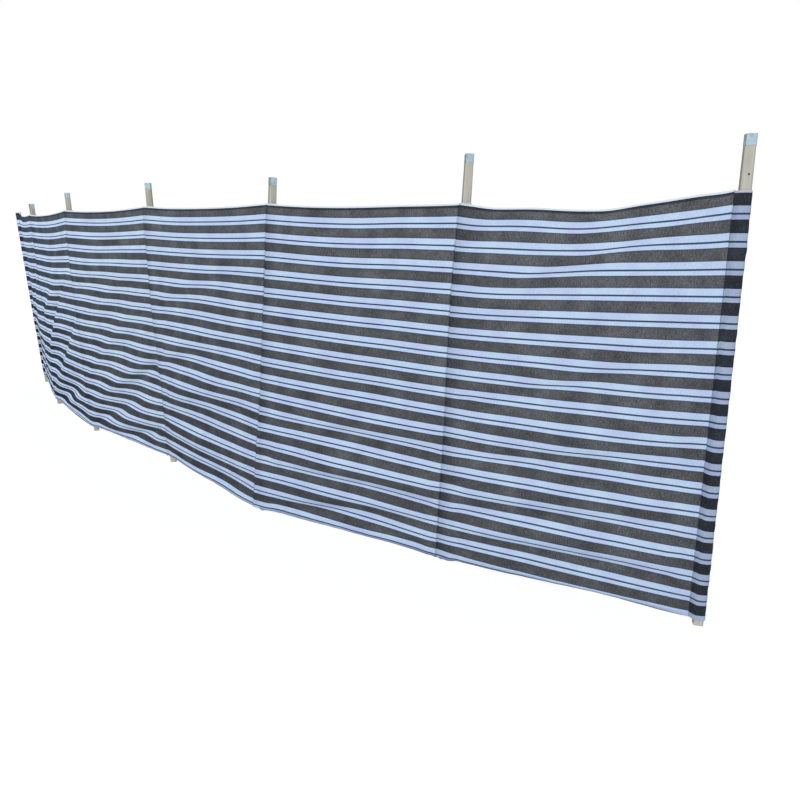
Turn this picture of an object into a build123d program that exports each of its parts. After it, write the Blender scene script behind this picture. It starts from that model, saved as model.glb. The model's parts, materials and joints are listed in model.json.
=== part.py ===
from build123d import *
import math
import os

# Beach windbreak: one length of striped cloth carried on seven square softwood poles.
# Millimetres, +Z up. The row runs along +X, its front faces -Y, and the origin is on
# the foot of the middle pole, at ground level. Poles count from the left end.

# --- the row, seen from above ---
bay_length = 975.0  # from one pole's foot to the next
bay_headings = [-15.0, -8.0, 1.5, -4.0, 12.0, 13.0]  # degrees from +X, left to right
middle_pole = 3  # counted from 0; its foot is the origin

# --- how each pole was driven in, left to right ---
pole_leans = [  # how far the axis runs along X and Y in 1000 mm of height
    (-10.0, -50.0),
    (-15.0, -25.0),
    (-10.0, -20.0),
    (-10.0, -15.0),
    (45.0, 45.0),
    (-10.0, 75.0),
    (-10.0, -5.0),
]
pole_turns = [-12.0, -1.5, -26.0, -39.5, -20.5, -39.0, 30.0]  # degrees about its own axis
pole_rises = [0.0, 76.0, 112.0, 125.0, 124.0, 187.0, 165.0]  # above the cloth's top edge

# --- poles and caps ---
pole_side = 32.0
pole_neck_side = 30.5  # where the pole is dressed down to meet its cap
pole_chamfer = 4.0
dressed_length = 150.0  # over which the pole narrows to its neck
spigot_side = 28.5  # the end that the cap is driven over
cap_height = 33.0
cap_wall = 1.0
cap_corner = 2.5  # outer radius of the cap's upright edges
cap_edge = 0.8  # outer radius round its top
cap_side_gap = 0.1  # spigot to cap wall
cap_rim_gap = 0.4  # cap rim to the pole's shoulder

# --- cloth ---
cloth_height = 1400.0
cloth_lifts = [55.0, 36.0, 34.0, 36.0, 14.0, 8.0, 20.0]  # bottom edge above ground, per pole
top_sags = [28.0, 20.0, 15.0, 15.0, 15.0, 40.0]  # dip of the top edge, per bay
panel_thickness = 3.0
panel_stations = 8  # spans that follow the dip of the top edge

# --- pole pockets ---
pocket_wall = 1.5
pocket_slack = 1.0  # pole to pocket
pocket_panel_gap = 0.3  # pocket to the back of the panel that it hangs on
seam_to_pole = 18.0  # inner pockets: the seam to the pole's axis, along the cloth
flat_past_pocket = 6.0  # inner pockets: how far the cloth stays flat past the pocket
end_seam_to_pole = 45.0  # end pockets: the same

pole_count = len(pole_leans)
bay_count = len(bay_headings)
driven_stub = 40.0  # modelled below ground, then cut level with it


def unit(heading):
    """A level unit vector at a heading in degrees from +X."""
    angle = math.radians(heading)
    return Vector(math.cos(angle), math.sin(angle), 0)


def pole_foot(pole):
    """Where a pole's axis meets the ground: the bays laid end to end from the middle pole."""
    foot = Vector(0, 0, 0)
    for bay in range(middle_pole, pole):
        foot += unit(bay_headings[bay]) * bay_length
    for bay in range(pole, middle_pole):
        foot -= unit(bay_headings[bay]) * bay_length
    return foot


def pole_axis(pole):
    """The pole's direction, of unit height."""
    lean_x, lean_y = pole_leans[pole]
    return Vector(lean_x / 1000, lean_y / 1000, 1)


def on_axis(pole, height):
    """The point of a pole's axis at a height above the ground."""
    return pole_foot(pole) + pole_axis(pole) * height


def cloth_span(pole):
    """Heights of the cloth's bottom and top edges at a pole: its length lies along the pole."""
    bottom = cloth_lifts[pole]
    return bottom, bottom + cloth_height / pole_axis(pole).length


def cloth_frame(pole):
    """The cloth's level direction and its front normal, where it leaves a pole to the right."""
    heading = bay_headings[min(pole, bay_count - 1)]
    return unit(heading), unit(heading - 90)


def is_end(pole):
    return pole in (0, pole_count - 1)


def chamfered_square(side, chamfer, turn=0.0):
    """The eight corners of a square with its corners cut off, turned about its centre."""
    half = side / 2
    short = half - chamfer
    corners = []
    for quarter in range(4):
        for x, y in ((half, -short), (half, short)):
            corners.append(Vector(x, y, 0).rotate(Axis.Z, turn + 90 * quarter))
    return corners


def hull(points):
    """The points of the outline drawn tight round a set of level points, anticlockwise."""
    ordered = sorted(points, key=lambda p: (round(p.X, 6), round(p.Y, 6)))

    def chain(run):
        kept = []
        for point in run:
            while len(kept) > 1 and (kept[-1] - kept[-2]).cross(point - kept[-2]).Z <= 1e-6:
                kept.pop()
            kept.append(point)
        return kept[:-1]

    return chain(ordered) + chain(reversed(ordered))


def stake(pole):
    """A square pole: a long shaft, a dressed neck and a spigot, leaning, cut level at the ground."""
    bottom, _ = cloth_span(pole)
    length = bottom * pole_axis(pole).length + cloth_height + pole_rises[pole]
    shoulder = length - cap_height - cap_rim_gap
    neck_start = shoulder - dressed_length
    full = Polygon(*chamfered_square(pole_side, pole_chamfer), align=None)
    neck = Polygon(*chamfered_square(pole_neck_side, pole_chamfer), align=None)
    end = Polygon(*chamfered_square(spigot_side, pole_chamfer), align=None)
    shaft = extrude(Pos(0, 0, -driven_stub) * full, driven_stub + neck_start)
    dressed = loft([Pos(0, 0, neck_start) * full, Pos(0, 0, shoulder) * neck], ruled=True)
    spigot = extrude(Pos(0, 0, shoulder) * end, cap_height + cap_rim_gap - cap_wall)
    ground = Box(800, 800, 400, align=(Align.CENTER, Align.CENTER, Align.MAX))
    return standing(pole) * (shaft + dressed + spigot) - Location(pole_foot(pole)) * ground


def standing(pole):
    """The location of a pole: on its foot, leaning, and turned about its own axis."""
    plane = Plane(pole_foot(pole), x_dir=(1, 0, 0), z_dir=pole_axis(pole))
    return plane.location * Rot(0, 0, pole_turns[pole])


def cap(pole):
    """A pressed steel cap: a square cup, mouth down, whose floor sits on the spigot's end."""
    bottom, _ = cloth_span(pole)
    length = bottom * pole_axis(pole).length + cloth_height + pole_rises[pole]
    inner = spigot_side + 2 * cap_side_gap
    outer = inner + 2 * cap_wall
    stand = (Align.CENTER, Align.CENTER, Align.MAX)
    cup = Box(outer, outer, cap_height, align=stand)
    cup = fillet(cup.edges().filter_by(Axis.Z), cap_corner)
    cup = fillet(cup.faces().sort_by(Axis.Z)[-1].edges(), cap_edge)
    hollow = Box(inner, inner, cap_height - cap_wall, align=stand)
    hollow = fillet(hollow.edges().filter_by(Axis.Z), cap_corner - cap_wall)
    cup -= Pos(0, 0, -cap_wall) * hollow
    return standing(pole) * Pos(0, 0, length) * cup


def pocket_corners(pole, grow):
    """The pole's corners grown by a margin, about the pole's axis, as its pocket meets them."""
    return chamfered_square(pole_side + 2 * grow, pole_chamfer, pole_turns[pole])


def pocket_front(pole):
    """How far the outside of an inner pocket stands in front of the pole's axis."""
    _, front = cloth_frame(pole)
    return max(c.dot(front) for c in pocket_corners(pole, pocket_slack + pocket_wall))


def end_seam(pole):
    """From an end pole's axis to its seam, signed along the cloth: right of the first pole."""
    return end_seam_to_pole if pole == 0 else -end_seam_to_pole


def pocket_outline(pole, outside):
    """A level outline of a pocket about its pole, drawn tight round it and out to its seam."""
    along, front = cloth_frame(pole)
    grow = pocket_slack + (pocket_wall if outside else 0)
    if is_end(pole):
        tuck = 0 if outside else math.copysign(2 * pocket_wall, end_seam(pole))
        lip = panel_thickness / 2 if outside else pocket_wall / 4
        seam = [along * (end_seam(pole) - tuck) + front * (y * lip) for y in (-1, 1)]
    elif outside:
        levels = (pocket_front(pole), pocket_front(pole) - 2 * pocket_wall)
        seam = [along * -seam_to_pole + front * level for level in levels]
    else:
        level = pocket_front(pole) - pocket_wall
        seam = [along * (2 * pocket_wall - seam_to_pole) + front * level]
    return hull(pocket_corners(pole, grow) + seam)


def pocket(pole):
    """A tube of cloth round a pole, as tall as the panels, pinched in to its seam."""
    bottom, _ = cloth_span(pole)
    axis = pole_axis(pole)
    tube = []
    for outside in (True, False):
        outline = Polygon(*pocket_outline(pole, outside), align=None)
        tube.append(extrude(outline, cloth_height, dir=axis))
    return Location(on_axis(pole, bottom)) * (tube[0] - tube[1])


def seam_edge(pole, share, ahead=0.0):
    """Back and front points of the cloth's edge at a pole's seam, or ahead of it to the right."""
    along, front = cloth_frame(pole)
    bottom, top = cloth_span(pole)
    axis = on_axis(pole, bottom + share * (top - bottom))
    if is_end(pole):
        place = axis + along * end_seam(pole)
        back = -panel_thickness / 2
    else:
        place = axis + along * (ahead - seam_to_pole)
        back = pocket_front(pole) + pocket_panel_gap
    return place + front * back, place + front * (back + panel_thickness)


def panel(bay):
    """One bay of cloth from seam to seam: upright sections whose top edge dips between poles."""
    past_pocket = 0.0
    if not is_end(bay):
        widest = pole_side / math.sqrt(2) + pocket_slack + pocket_wall
        past_pocket = seam_to_pole + widest + flat_past_pocket
    left = [seam_edge(bay, share, past_pocket) for share in (0, 1)]
    right = [seam_edge(bay + 1, share) for share in (0, 1)]
    sections = []
    if past_pocket:
        sections.append([seam_edge(bay, share) for share in (0, 1)])
    for station in range(panel_stations + 1):
        u = station / panel_stations
        dip = Vector(0, 0, top_sags[bay] * 4 * u * (1 - u))
        blend = [[a + (b - a) * u for a, b in zip(*pair)] for pair in zip(left, right)]
        sections.append([blend[0], [point - dip for point in blend[1]]])
    wires = []
    for (low_back, low_front), (high_back, high_front) in sections:
        wires.append(Wire.make_polygon([low_back, low_front, high_front, high_back], close=True))
    return Solid.make_loft(wires, ruled=True)


def write(name, shape):
    shape.label = name
    export_step(shape, f"parts/{name}.step")


os.makedirs("parts", exist_ok=True)
for number in range(pole_count):
    write(f"pole_{number + 1}", stake(number))
    write(f"pole_cap_{number + 1}", cap(number))
    write(f"pole_pocket_{number + 1}", pocket(number))
for number in range(bay_count):
    write(f"cloth_panel_{number + 1}", panel(number))
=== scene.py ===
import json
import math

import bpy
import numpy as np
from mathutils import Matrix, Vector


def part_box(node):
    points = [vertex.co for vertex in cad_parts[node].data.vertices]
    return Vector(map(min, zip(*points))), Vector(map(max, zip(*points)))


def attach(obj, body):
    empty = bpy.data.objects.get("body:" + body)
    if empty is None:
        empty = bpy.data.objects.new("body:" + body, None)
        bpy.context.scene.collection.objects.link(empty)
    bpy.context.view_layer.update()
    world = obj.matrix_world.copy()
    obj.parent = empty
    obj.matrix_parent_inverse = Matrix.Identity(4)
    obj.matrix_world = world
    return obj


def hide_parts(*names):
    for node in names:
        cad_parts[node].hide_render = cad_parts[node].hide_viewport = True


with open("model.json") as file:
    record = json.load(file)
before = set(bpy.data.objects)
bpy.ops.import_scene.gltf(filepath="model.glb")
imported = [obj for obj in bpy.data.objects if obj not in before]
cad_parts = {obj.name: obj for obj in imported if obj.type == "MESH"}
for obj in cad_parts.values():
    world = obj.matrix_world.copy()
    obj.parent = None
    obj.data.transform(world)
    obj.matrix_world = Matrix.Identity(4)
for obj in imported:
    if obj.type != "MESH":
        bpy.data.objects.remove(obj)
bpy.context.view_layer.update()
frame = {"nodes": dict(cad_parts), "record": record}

# Looks of a beach windbreak: one length of striped cotton on seven square softwood poles.
# Metres, +Z up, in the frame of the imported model. Poles and bays are counted from 0 at the
# left end. "Along" runs level with the cloth, "up" is its share of the way from the bottom
# edge to the top, and "front" is its outward face. Values at several heights are for even
# ones from the bottom edge to the top.

MM = 0.001
POLES = 7
BAYS = 6
END_POLES = (0, POLES - 1)
UPRIGHT = np.array([0.0, 0.0, 1.0])

# --- camera: at eye height in front of the right-hand end, looking left along the bays
CAMERA_PLACE = (3.5243, -1.8743, 1.2770)
CAMERA_ANGLES = (42.582, 13.384, 0.475)  # turned from +Y towards -X, tipped down, rolled
CAMERA_LENS_MM = 30.297
SENSOR_MM = 36.0

# --- light
WORLD_LEVEL = 0.45
SUNS = [  # name, strength, compass turn from +X, height and spread in degrees
    ("key", 1.75, -75, 38, 30),
    ("back", 0.55, 110, 45, 50),
]
FLOOR_HALF = 30.0

# --- poles
POLE_SIDE = 32 * MM
SUNNY_SIDE = [-12, -5, -25, -40, -20, -40, -60]  # of each pole, the face painted as lit: compass turn from +X in degrees
KNOT_ABOVE_CLOTH = 52 * MM  # a knot on the last pole's sunny face
KNOT_ASIDE = 2.5 * MM

# --- cloth
CLOTH_HEIGHT = 1.400
CLOTH_THICK = 0.8 * MM
SLEEVE_CLEAR = 2.5 * MM  # outside of a pole pocket to its pole
FACE_TO_POCKET = 3.3 * MM  # from the cloth's face back to the pocket behind it
SEAM_TO_POLE = 18 * MM  # inner seams sit this far left of their pole
FLAT_PAST_SEAM = SEAM_TO_POLE + POLE_SIDE / math.sqrt(2) + SLEEVE_CLEAR + 6 * MM  # over the pocket
END_FACE = 1.5 * MM  # at the ends the cloth's face is this far in front of the pole's axis
END_SEAM = 45 * MM  # where the end bays' straight lines start, from the end poles' axes
PAST_FIRST_SEAM, PAST_LAST_SEAM = 6 * MM, 4 * MM  # the end bays run on into the end sleeves
HEM_DEPTH = 12 * MM
HEM_TURN = 0.95 * MM  # radius of the fold along a hem
HEM_BEND = 10 * MM  # length of the bend where the bottom hem's curl starts

# Grids: rows this far from a hem's fold and columns this far from a seam, and the even step
# between them.
BAY_ROWS = np.array([0, 2, 4.5, 5.6, 6.6, 9, 11.5, 13.5, 16, 20, 25, 29, 33, 37, 41, 45]) * MM
BAY_COLUMNS = np.array([0, 0.8, 1.8, 3, 4.5, 6.5, 9, 13, 18, 25]) * MM
BAY_STEP = 10 * MM
SLEEVE_ROWS = np.array([0, 2, 5, 8, 9.5, 10.5, 11.5, 14, 19, 26]) * MM
SLEEVE_STEP = 12 * MM
SLEEVE_COLUMNS = 49
BACK_ROWS = 5  # rows on the part of a hem that is turned to the back
FOLD_TURNS = (135, 90, 45)  # rows round a hem's fold, in degrees

# The bottom hem wanders: how much farther than the cloth's height its fold lies below the top
# edge, in millimetres, at five places from each bay's left seam to its right one.
BOTTOM_FOLD = [
    (0, 1, 1, 1, 1), (1, 4, 11, 13, 4), (2, 3, 4, 3, 1), (1, 1, 2, 4, 4), (4, 3, 3, 3, 2),
    (2, 1, 6, -4, -12),
]
# Below the last dark band the hem has curled back: its tilt in degrees, at the same places.
HEM_CURL = [
    (0, 0, 0, 0, 0), (0, 0, 0, 0, 0), (0, 25, 0, 8, 10), (12, 16, 12, 0, 0), (0, 0, 20, 25, 14),
    (24, 42, 57, 56, 10),
]
# Painted shade darkens the bottom hem: how doubled it looks along its fold, at the same places.
HEM_SHADE = [
    (1.6, 1.6, 1.5, 1.4, 1.4), (1.4, 1.4, 1.6, 1.6, 1.6), (1.6, 1.5, 1.5, 1.6, 1.6),
    (1.6, 1.5, 1.4, 1.4, 1.5), (1.5, 1.7, 1.4, 1.9, 2.3), (2, 2.1, 1.9, 1.2, 0.2),
]
LAST_SLEEVE_FOLD = 1384 * MM  # the right-hand end sleeve is hemmed shorter
# Its stripes were sewn a little above the bay's: by how many millimetres, at six heights.
LAST_SLEEVE_RAISE = (2, 4, 0, 4.3, 2, -1)
# How doubled a sleeve's cloth looks, painted as shade where no light comes through, at several
# heights.
INNER_SLEEVE_SHADE = (0.35, 0.35)
END_SLEEVE_SHADE = {0: (0.85, 0.4, 0.1, 0.1), 6: (1.07, 1.07)}
# End sleeves: from the end pole's axis to the sleeve's seam, at the bottom and the top.
END_SLEEVES = {0: (50 * MM, 36 * MM), 6: (32 * MM, 29 * MM)}

# --- stripes, down from the top edge: a pale rim, then bands that repeat
RIM = 6 * MM
REPEAT = 77.8 * MM
LAST_BAND = RIM + 17 * REPEAT + 38 * MM  # lower edge of the last dark band

# How many millimetres the cloth hangs below straight lines from seam to seam, at six heights:
# beside its left seam, beside its right seam, and how much more in the middle of the bay.
HANG = [
    ((-11, 5, 39, 41, 21, 0), (-3, 10, 4, 3, -1, 1), (22, 24, 19, 8, 5, 10)),
    ((-3, 5, 6, 6, 5, 1), (-3, 5, 7, 2, -5, -6), (-9, 7, 6, 4, 7, 17)),
    ((-2, 3, 6, 3, 0, -6), (-2, 5, 15, 11, 0, -4), (-2, 9, 5, 1, 4, 14)),
    ((-1, 9, 13, 14, 6, -4), (1, -5, -9, -9, -13, -14), (36, 1, -9, 0, 4, 13)),
    ((3, -3, -4, -6, -8, -13), (6, 23, 29, 26, 12, -7), (10, -9, 7, 4, 6, 14)),
    ((6, 24, 28, 26, 12, -7), (17, 20, 16, 16, 7, -12), (17, 2, 14, 10, 8, 35)),
]

# Long soft folds, bay by bay: middle along and up, in percent of the bay and of its height,
# slope in degrees, half length, half width, how far it swells out and how far it drags the
# stripes down, in millimetres. A negative swell is a hollow.
SWELL, DRAG = 5, 6
FOLDS = [
    [(18, 2, -39, 110, 55, 5, 0), (11, 15, 54, 430, 75, 5, 2), (29, 94, 19, 430, 75, 3, 2),
     (0, 100, 0, 330, 45, 0, -25)],
    [(35, 31, 30, 430, 80, -14, -5), (51, 12, 22, 430, 60, -13, -2), (41, 68, 55, 380, 180, 7, 6),
     (45, 75, 35, 430, 55, -8, 0), (57, 99, 2, 310, 75, 3, -2)],
    [(63, 23, 29, 430, 80, -20, -8), (49, 39, 33, 430, 70, -11, -4), (61, 3, 11, 390, 55, -13, -2),
     (31, 82, 22, 330, 115, 3, 5), (38, 52, 35, 430, 60, -7, -2), (18, 66, 23, 430, 55, -2, -3)],
    [(54, 5, 1, 400, 70, -20, -18), (51, 37, 11, 430, 90, 17, 8), (55, 68, 26, 430, 120, -3, -7),
     (18, 49, 10, 430, 90, 5, 5), (27, 95, -14, 180, 75, 0, 2), (60, 2.4, 0, 170, 26, -5, -9),
     (5, 2.4, 0, 110, 26, -2, -5)],
    [(43, 3, 4, 410, 55, -14, -11), (74, 90, 86, 430, 180, -1, -4), (52, 22, 1, 430, 80, 16, 8),
     (60, 47, 1, 430, 65, -2, -6), (67, 9, -9, 160, 70, -8, -7), (0, 88, -29, 390, 140, 1, -3),
     (85, 2.4, 0, 160, 24, -9, -16), (83, 2.4, 0, 55, 26, 0, 3), (64, 2.4, 0, 110, 26, 0, -2.5),
     (55, 100, 0, 250, 35, 0, -2.2)],
    [(41, 89, 28, 430, 130, 4, 10), (56, 34, 2, 420, 55, -8, -8), (53, 52, 6, 430, 95, -3, -7),
     (50, 91, -11, 430, 160, 0, -12), (44, 6, 0, 440, 55, -17, -12), (16, 101, 44, 290, 90, -1, 7),
     (51, 99, -70, 190, 130, 1, 6), (0, 2.4, 0, 110, 26, 0, -8), (62, 2.4, 0, 420, 26, -2, -3),
     (100, 100, 0, 60, 40, 0, 5), (62, 100, 0, 75, 30, 0, 5), (7, 100, 0, 60, 30, 0, -2)],
]

# Narrower creases from rolling the cloth up, in the same terms. They die out at the seams.
CREASES = [
    [(11, 50, 49, 430, 68, 7.1, 1.4), (51, 17.7, 40, 290, 20, 8.4, 0.4),
     (41, 41, 19, 430, 92, 5.9, 1.4), (61, 65.9, 28, 330, 50, -8, -3),
     (73, 16.8, -24, 170, 92, 4, 0.2)],
    [(19, 53.6, 28, 420, 42, 12.4, 3.9), (40, 20.9, 36, 440, 86, 7.2, 2.1),
     (71, 9.1, 17, 430, 38, 9.2, 1.5), (43, 8.6, 17, 430, 44, -9.1, -1.6),
     (59, 36.7, 34, 430, 28, -9.9, -2), (26, 39.3, 41, 430, 36, 12.8, 4),
     (47, 55.3, 34, 440, 32, -9.3, -4.1), (27, 28.2, 21, 150, 48, -7, -1.7)],
    [(50, 8.9, 20, 420, 82, 10, 2), (52, 28.9, 28, 490, 52, 9.5, 3.2),
     (24, 7.6, 22, 430, 36, -10, -4), (30, 39, 36, 420, 32, 5.1, 2.4),
     (96, 7.5, 20, 170, 36, 9.1, 2.2), (84, 34.8, 24, 310, 28, -9.2, -4.2),
     (75, 6.6, 17, 310, 26, -9.2, -2.7), (34, 61.6, 26, 420, 40, 2.7, 2.5)],
    [(27, 14.5, 2, 420, 54, 15.5, 3.6), (33, 22.4, 26, 380, 118, -6.8, -2.2),
     (25, 5.8, 2, 430, 30, 6.1, 0.5), (39, 31.8, 15, 460, 66, 7.9, 2.1),
     (3, 39.4, 14, 370, 38, -7.3, -3.2), (29, 64.4, 21, 410, 56, -2.5, -2.4),
     (20, 68.6, 20, 410, 44, 2.8, 2.9), (20, 47.8, 15, 430, 54, 4.1, 1.6),
     (100, 6.8, 16, 140, 44, 8.8, 1.7)],
    [(65, 32.9, 5, 300, 56, -8.1, -3.4), (39, 5.3, 9, 330, 28, -10.7, -3.4),
     (35, 19.9, 4, 470, 36, 6.9, 2.5), (96, 1.3, -1, 430, 78, 9.7, 3),
     (73, 16.8, 0, 440, 18, -7.6, -2.9), (66, 37, 2, 450, 36, 7.3, 3.4),
     (66, 11.8, 4, 290, 34, 9.8, 3.9), (74, 91.5, -9, 440, 100, -1.6, -1.6)],
    [(45, 5.6, 0, 430, 18, 8.1, 2.6), (69, 10.6, 0, 350, 24, -10.3, -3.4),
     (36, 19.1, 6, 490, 38, -7.5, -2.7), (52, 14.4, 4, 490, 42, 6.7, 2.3),
     (31, 24.6, 4, 460, 34, 7.3, 2.9), (62, 38.4, 10, 470, 40, -7.2, -3.4),
     (77, 43.7, 8, 420, 54, 4.9, 2.9), (42, 56.6, 19, 390, 44, 6.3, 5.1),
     (66, 86.3, 18, 290, 34, -0.1, -3.2), (29, 52.8, 13, 480, 36, -7.7, -5.2),
     (53, 88.3, 16, 450, 18, 1.3, 2.9)],
]

# Inner seams were sewn freehand: how many millimetres each strays to the left, at six heights.
SEAM_STRAY = {
    1: (0, 0, 0, 0, 0, 0),
    2: (0, 5, 18, 30, 24, 0),
    3: (0, 0, 8, 28, 26, 14),
    4: (32, 22, 4, 0, -5, -9),
    5: (4, 5, 4, 10, 11, 0),
}
# Right of each inner seam the cloth lies over the pole's pocket, which shades it: by how much
# at the seam, how far it reaches, and how fast it fades. In a seam's tuck it is darker still.
POCKET_SHADE = {1: 0.45, 2: 0.55, 3: 0.60, 4: 0.80, 5: 0.95}
SHADE_REACH, SHADE_FADE = 85 * MM, 1.6
TUCK_SHADE, TUCK_SHADE_WIDTH = 0.45, 3 * MM


# ---- where things are ----


def unit(vectors):
    """Vectors made one long."""
    return vectors / np.linalg.norm(vectors, axis=-1, keepdims=True)


def level_way(angle):
    """The level directions at angles from +X."""
    return np.stack([np.cos(angle), np.sin(angle), 0 * np.asarray(angle)], axis=-1)


mounts = {mount["name"]: np.array(mount["pos_m"]) for mount in frame["record"]["mounts"]}
foot = np.array([mounts[f"foot_{n + 1}"] for n in range(POLES)])
cap_middle = np.array([sum(map(np.array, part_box(f"pole_cap_{n + 1}"))) / 2 for n in range(POLES)])
lean = (cap_middle - foot) / cap_middle[:, 2:3]  # the pole's run for each metre of height
pocket_box = [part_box(f"pole_pocket_{n + 1}") for n in range(POLES)]
cloth_low = np.array([low.z for low, high in pocket_box])
cloth_high = np.array([high.z for low, high in pocket_box])
along = unit(np.diff(foot, axis=0) * (1, 1, 0))[[*range(BAYS), BAYS - 1]]
front = np.cross(along, UPRIGHT)
bay_length = float(np.linalg.norm(foot[1] - foot[0]))

AT_GROUND = 1 * MM  # a pole's points lower than this are the outline of its foot
FLAT_SIDE = 0.9  # a pole's flat sides are wider than this share of its widest one


def foot_ring(pole):
    """The corners of a pole's foot, as rows of x, y, z from its middle."""
    vertices = frame["nodes"][f"pole_{pole + 1}"].data.vertices
    points = np.zeros(len(vertices) * 3)
    vertices.foreach_get("co", points)
    points = points.reshape(-1, 3)
    return points[points[:, 2] < AT_GROUND] - foot[pole]


# The same corners as distances along the cloth and to its front.
corners = [foot_ring(n) @ np.stack([along[n], front[n]], axis=-1) for n in range(POLES)]
pocket_front = [float(ring[:, 1].max()) + SLEEVE_CLEAR for ring in corners]


def pole_face(pole, towards):
    """The level direction of the pole's flat face that looks most nearly towards a compass
    turn from +X, in degrees. A flat face is where two neighbouring corners are farthest apart."""
    ring = np.unique(foot_ring(pole).round(5) * (1, 1, 0), axis=0)
    ring = ring[np.argsort(np.arctan2(ring[:, 1], ring[:, 0]))]
    following = np.roll(ring, -1, axis=0)
    middles = (ring + following) / 2
    widths = np.linalg.norm(ring - following, axis=1)
    flats = unit(middles[widths > widths.max() * FLAT_SIDE])
    return flats[np.argmax(flats @ level_way(math.radians(towards)))]


# ---- curves and grids ----


def ease(share):
    """Rises smoothly from 0 to 1 as the share does: three times its square less twice its cube."""
    t = np.clip(share, 0, 1)
    return t * t * (3 - 2 * t)


def bell(distance, width):
    """A bell curve, 1 at its middle: e to the power of less the squared share of its width."""
    return np.exp(-((distance / width) ** 2))


def walk(points):
    """Distances along rows of points, from each row's first one."""
    steps = np.linalg.norm(np.diff(points, axis=-2), axis=-1)
    return np.concatenate([np.zeros_like(steps[..., :1]), np.cumsum(steps, axis=-1)], axis=-1)


def smooth_through(values, share):
    """A smooth curve through even values: cubic pieces that leave each value with the slope of
    the chord between its neighbours."""
    values = np.asarray(values, float)
    slopes = np.gradient(values)
    last = len(values) - 1
    place = np.clip(np.asarray(share, float) * last, 0, last - 1e-9)
    i = place.astype(int)
    t = place - i
    between = values[i] * (1 - ease(t)) + values[i + 1] * ease(t)
    return between + slopes[i] * t * (1 - t) ** 2 - slopes[i + 1] * t**2 * (1 - t)


def spaced(length, near, step):
    """Distances from 0 to a length: evenly stepped, with the near distances at both ends."""
    evenly = np.arange(near.max() + step, length - near.max(), step)
    return np.unique(np.concatenate([near, evenly, length - near]))


def ripple(seed, x, y, shortest, longest, count=9):
    """Unevenness of slack cloth, about 1 high: a sum of plane waves of random direction, length
    and phase, each as high as it is long."""
    rng = np.random.default_rng(seed)
    lengths = rng.uniform(shortest, longest, count)
    turns = rng.uniform(0, math.pi, count)
    phases = rng.uniform(0, 2 * math.pi, count)
    across = x[..., None] * np.cos(turns) + y[..., None] * np.sin(turns)
    waves = np.sin(2 * math.pi * across / lengths + phases) * lengths / longest
    return waves.sum(-1) / math.sqrt(count / 2)


def show(name, data):
    """A new object in the scene, made of a mesh, lamp or camera."""
    made = bpy.data.objects.new(name, data)
    bpy.context.scene.collection.objects.link(made)
    return made


def cloth_sheet(name, points, cloth_along, cloth_down, painted_shade):
    """A grid of points, rows down and columns to the right of its face, made into quads and
    grown behind into closed cloth. It carries a map of the cloth in metres, and its painted
    shade at each point: darker where the cloth is doubled and no light comes through it."""
    rows, columns, _ = points.shape
    number = np.arange(rows * columns).reshape(rows, columns)
    around = [number[:-1, :-1], number[1:, :-1], number[1:, 1:], number[:-1, 1:]]
    quads = np.stack(around, axis=-1).reshape(-1, 4)
    mesh = bpy.data.meshes.new(name)
    mesh.from_pydata(points.reshape(-1, 3), [], quads)
    place = np.stack([cloth_along, cloth_down], axis=-1).reshape(-1, 2)
    cloth_map = mesh.uv_layers.new(name="cloth")
    cloth_map.data.foreach_set("uv", place[quads.ravel()].astype(np.float32).ravel())
    doubled = mesh.attributes.new("painted_shade", "FLOAT", "POINT")
    doubled.data.foreach_set("value", painted_shade.astype(np.float32).ravel())
    mesh.polygons.foreach_set("use_smooth", np.ones(len(quads), bool))
    mesh.update()
    piece = show(name, mesh)
    wall = piece.modifiers.new("thickness", "SOLIDIFY")
    wall.thickness = CLOTH_THICK
    wall.offset = -1
    return piece


def bottom_fold(bay, share):
    """How far down the bottom hem's fold lies: a smooth curve through its five places."""
    return CLOTH_HEIGHT + smooth_through(BOTTOM_FOLD[bay], share) * MM


def hem_rows(bottom, near, step):
    """Rows from the top hem's raw edge, up the back, over the fold, down the face and round the
    bottom hem, for columns whose bottom folds lie this far down. Returns for each row and
    column: distance down the face, beyond its folds, behind it, and down the cloth."""
    up_back = np.linspace(HEM_DEPTH, 0, BACK_ROWS)[:, None]
    turn = np.radians(FOLD_TURNS)[:, None]
    arc, beyond, behind = HEM_TURN * turn, HEM_TURN * np.sin(turn), HEM_TURN * (1 - np.cos(turn))
    half, back, level = HEM_TURN * math.pi, HEM_TURN * 2, 0 * bottom
    face = spaced(bottom.max(), near, step)[:, None] * bottom / bottom.max()
    parts = [
        (up_back, level, back, -half - up_back),
        (level, beyond, behind, -arc),
        (face, level, level, face),
        (bottom, -beyond[::-1], behind[::-1], bottom + arc[::-1]),
        (bottom - up_back[::-1], level, back, bottom + half + up_back[::-1]),
    ]
    return [np.concatenate(values) for values in zip(*(np.broadcast_arrays(*p) for p in parts))]


# ---- the cloth's shape ----


def pole_axis(pole, up):
    """Points of a pole's axis at heights of its cloth."""
    height = cloth_low[pole] + up * (cloth_high[pole] - cloth_low[pole])
    return foot[pole] + height[..., None] * lean[pole]


def seam_line(pole, up, ahead=0.0):
    """Where the cloth's face meets a pole's seam: the pole's axis at that height, moved along
    the cloth to the seam and forward to the face."""
    side, face = ahead - SEAM_TO_POLE, pocket_front[pole] + FACE_TO_POCKET
    if pole in END_POLES:
        side, face = END_SEAM if pole == 0 else -END_SEAM, END_FACE
    return pole_axis(pole, up) + along[pole] * side + front[pole] * face


def fold_shape(fold, share, up):
    """One soft fold, 1 high at its middle line: a bell curve across it and a longer one along it."""
    middle, height, slope, length, width = fold[:SWELL]
    x = (share - middle / 100) * bay_length
    y = (up - height / 100) * CLOTH_HEIGHT
    angle = math.radians(slope)
    lengthwise = x * math.cos(angle) + y * math.sin(angle)
    crosswise = y * math.cos(angle) - x * math.sin(angle)
    return bell(lengthwise, length * MM) * bell(crosswise, width * MM)


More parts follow.
